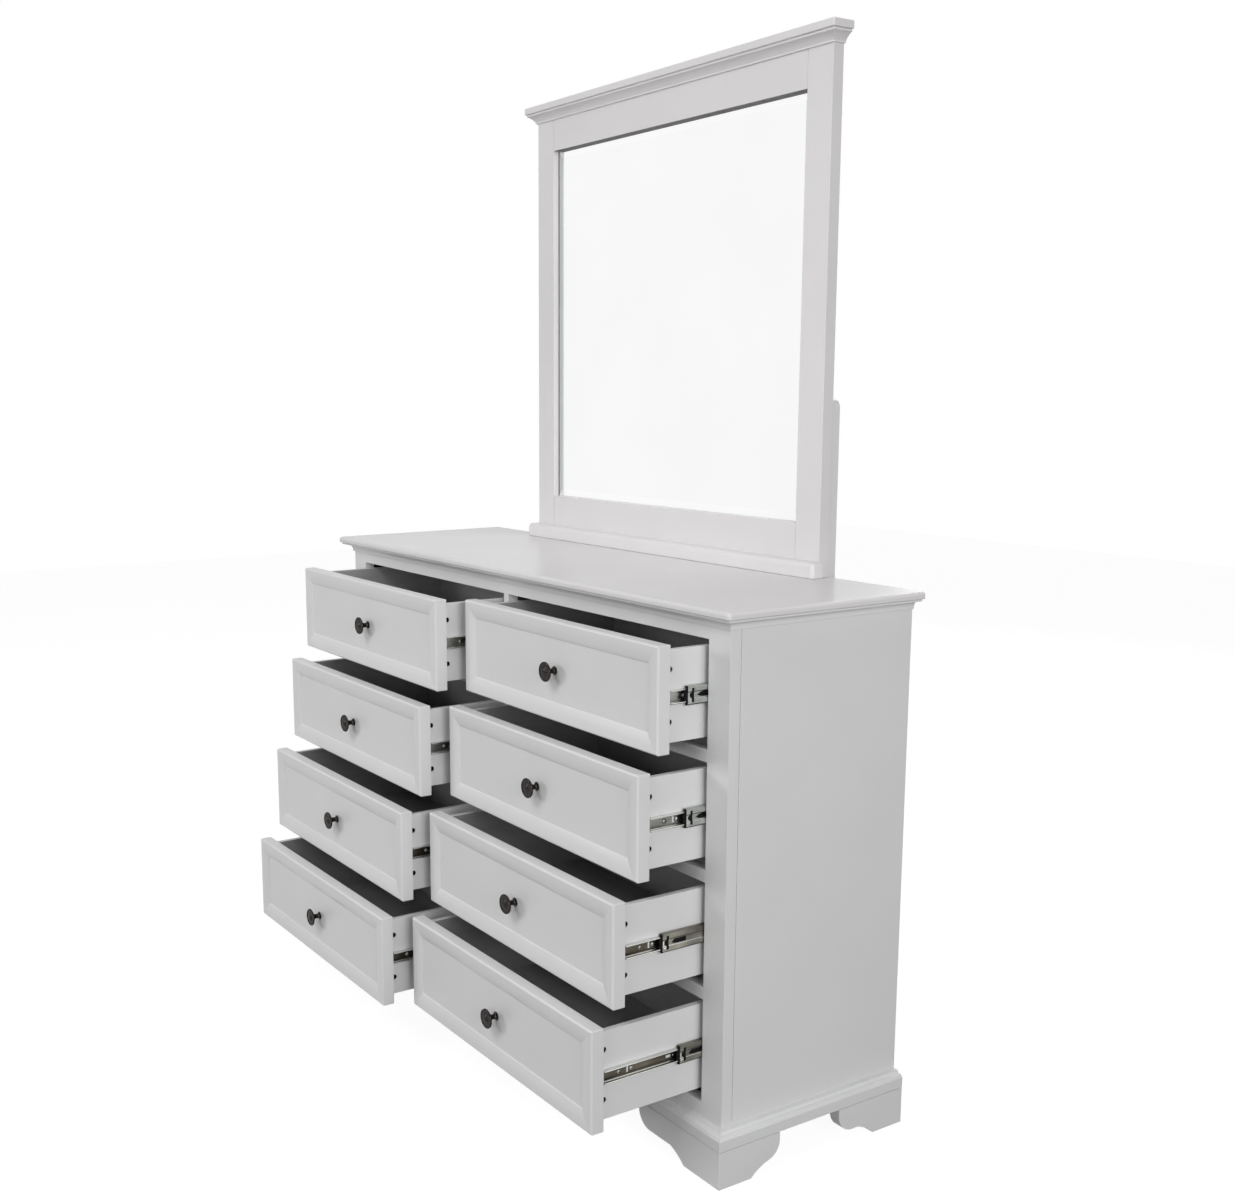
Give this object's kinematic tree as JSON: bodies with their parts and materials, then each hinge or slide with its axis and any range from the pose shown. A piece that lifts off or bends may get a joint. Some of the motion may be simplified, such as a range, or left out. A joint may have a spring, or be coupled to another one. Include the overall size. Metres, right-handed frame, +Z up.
{
  "type": "dresser with mirror",
  "caption": "Wide dresser with two columns of framed drawers on telescopic runners, bracket feet, coved cornice and an upright framed mirror.",
  "frame": {"origin": "centre of the whole outline on the floor, with the drawers open as at rest", "axes": "+X to the right seen from the front, +Y towards the back, +Z up"},
  "size_m": [1.5, 0.7678, 2.056],
  "materials": {
    "white_lacquer": "satin white lacquer",
    "lacquered_board": "satin white outside, matt grey foil inside",
    "bare_board": "matt charcoal stain",
    "bare_hardboard": "bare hardboard",
    "zinc_plated_steel": "bright zinc plating",
    "black_nickel": "black nickel plating",
    "silvered_glass": "bevelled mirror"
  },
  "bodies": {
    "cabinet": {"side_panels": "white_lacquer", "front_posts": "white_lacquer", "front_rails": "white_lacquer", "centre_partition": "white_lacquer", "bottom_panel": "white_lacquer", "top_board": "white_lacquer", "cornice_moulding": "white_lacquer", "base_moulding": "white_lacquer", "front_feet": "white_lacquer", "rear_feet": "white_lacquer", "mirror_frame": "white_lacquer", "mirror_crown": "white_lacquer", "mirror_plinth_board": "white_lacquer", "mirror_supports": "white_lacquer", "back_panel": "bare_hardboard", "mirror_backboard": "bare_hardboard", "back_rails": "bare_board", "runner_packers": "bare_board", "runner_outer_members": "zinc_plated_steel", "mirror_glass": "silvered_glass"},
    "bottom_left_drawer": {"bottom_left_front": "white_lacquer", "bottom_left_box": "lacquered_board", "bottom_left_hardware": "black_nickel", "bottom_left_inner_runners": "zinc_plated_steel"},
    "bottom_left_middle_members": {"bottom_left_middle_runners": "zinc_plated_steel"},
    "bottom_right_drawer": {"bottom_right_front": "white_lacquer", "bottom_right_box": "lacquered_board", "bottom_right_hardware": "black_nickel", "bottom_right_inner_runners": "zinc_plated_steel"},
    "bottom_right_middle_members": {"bottom_right_middle_runners": "zinc_plated_steel"},
    "lower_left_drawer": {"lower_left_front": "white_lacquer", "lower_left_box": "lacquered_board", "lower_left_hardware": "black_nickel", "lower_left_inner_runners": "zinc_plated_steel"},
    "lower_left_middle_members": {"lower_left_middle_runners": "zinc_plated_steel"},
    "lower_right_drawer": {"lower_right_front": "white_lacquer", "lower_right_box": "lacquered_board", "lower_right_hardware": "black_nickel", "lower_right_inner_runners": "zinc_plated_steel"},
    "lower_right_middle_members": {"lower_right_middle_runners": "zinc_plated_steel"},
    "upper_left_drawer": {"upper_left_front": "white_lacquer", "upper_left_box": "lacquered_board", "upper_left_hardware": "black_nickel", "upper_left_inner_runners": "zinc_plated_steel"},
    "upper_left_middle_members": {"upper_left_middle_runners": "zinc_plated_steel"},
    "upper_right_drawer": {"upper_right_front": "white_lacquer", "upper_right_box": "lacquered_board", "upper_right_hardware": "black_nickel", "upper_right_inner_runners": "zinc_plated_steel"},
    "upper_right_middle_members": {"upper_right_middle_runners": "zinc_plated_steel"},
    "top_left_drawer": {"top_left_front": "white_lacquer", "top_left_box": "lacquered_board", "top_left_hardware": "black_nickel", "top_left_inner_runners": "zinc_plated_steel"},
    "top_left_middle_members": {"top_left_middle_runners": "zinc_plated_steel"},
    "top_right_drawer": {"top_right_front": "white_lacquer", "top_right_box": "lacquered_board", "top_right_hardware": "black_nickel", "top_right_inner_runners": "zinc_plated_steel"},
    "top_right_middle_members": {"top_right_middle_runners": "zinc_plated_steel"}
  },
  "joints": [
    {"name": "bottom_left_slide", "type": "slide", "parent": "cabinet", "child": "bottom_left_drawer", "axis": [0, -1, 0], "range_m": [-0.2984, 0.0516]},
    {"name": "bottom_left_middle_slide", "type": "slide", "parent": "cabinet", "child": "bottom_left_middle_members", "axis": [0, -1, 0], "range_m": [-0.1492, 0.0258]},
    {"name": "bottom_right_slide", "type": "slide", "parent": "cabinet", "child": "bottom_right_drawer", "axis": [0, -1, 0], "range_m": [-0.2395, 0.1105]},
    {"name": "bottom_right_middle_slide", "type": "slide", "parent": "cabinet", "child": "bottom_right_middle_members", "axis": [0, -1, 0], "range_m": [-0.0851, 0.03926]},
    {"name": "lower_left_slide", "type": "slide", "parent": "cabinet", "child": "lower_left_drawer", "axis": [0, -1, 0], "range_m": [-0.2494, 0.1006]},
    {"name": "lower_left_middle_slide", "type": "slide", "parent": "cabinet", "child": "lower_left_middle_members", "axis": [0, -1, 0], "range_m": [-0.1247, 0.0503]},
    {"name": "lower_right_slide", "type": "slide", "parent": "cabinet", "child": "lower_right_drawer", "axis": [0, -1, 0], "range_m": [-0.196, 0.154]},
    {"name": "lower_right_middle_slide", "type": "slide", "parent": "cabinet", "child": "lower_right_middle_members", "axis": [0, -1, 0], "range_m": [-0.1268, 0.09963]},
    {"name": "upper_left_slide", "type": "slide", "parent": "cabinet", "child": "upper_left_drawer", "axis": [0, -1, 0], "range_m": [-0.2031, 0.1469]},
    {"name": "upper_left_middle_slide", "type": "slide", "parent": "cabinet", "child": "upper_left_middle_members", "axis": [0, -1, 0], "range_m": [-0.10155, 0.07345]},
    {"name": "upper_right_slide", "type": "slide", "parent": "cabinet", "child": "upper_right_drawer", "axis": [0, -1, 0], "range_m": [-0.1465, 0.2035]},
    {"name": "upper_right_middle_slide", "type": "slide", "parent": "cabinet", "child": "upper_right_middle_members", "axis": [0, -1, 0], "range_m": [-0.0783, 0.10877]},
    {"name": "top_left_slide", "type": "slide", "parent": "cabinet", "child": "top_left_drawer", "axis": [0, -1, 0], "range_m": [-0.1623, 0.1877]},
    {"name": "top_left_middle_slide", "type": "slide", "parent": "cabinet", "child": "top_left_middle_members", "axis": [0, -1, 0], "range_m": [-0.08115, 0.09385]},
    {"name": "top_right_slide", "type": "slide", "parent": "cabinet", "child": "top_right_drawer", "axis": [0, -1, 0], "range_m": [-0.1065, 0.2435]},
    {"name": "top_right_middle_slide", "type": "slide", "parent": "cabinet", "child": "top_right_middle_members", "axis": [0, -1, 0], "range_m": [-0.0788, 0.18017]}
  ],
  "couplings": [
    {"joint": "bottom_left_middle_slide", "follows": "bottom_left_slide", "ratio": 0.5},
    {"joint": "bottom_right_middle_slide", "follows": "bottom_right_slide", "ratio": 0.35532},
    {"joint": "lower_left_middle_slide", "follows": "lower_left_slide", "ratio": 0.5},
    {"joint": "lower_right_middle_slide", "follows": "lower_right_slide", "ratio": 0.64694},
    {"joint": "upper_left_middle_slide", "follows": "upper_left_slide", "ratio": 0.5},
    {"joint": "upper_right_middle_slide", "follows": "upper_right_slide", "ratio": 0.53447},
    {"joint": "top_left_middle_slide", "follows": "top_left_slide", "ratio": 0.5},
    {"joint": "top_right_middle_slide", "follows": "top_right_slide", "ratio": 0.73991}
  ]
}
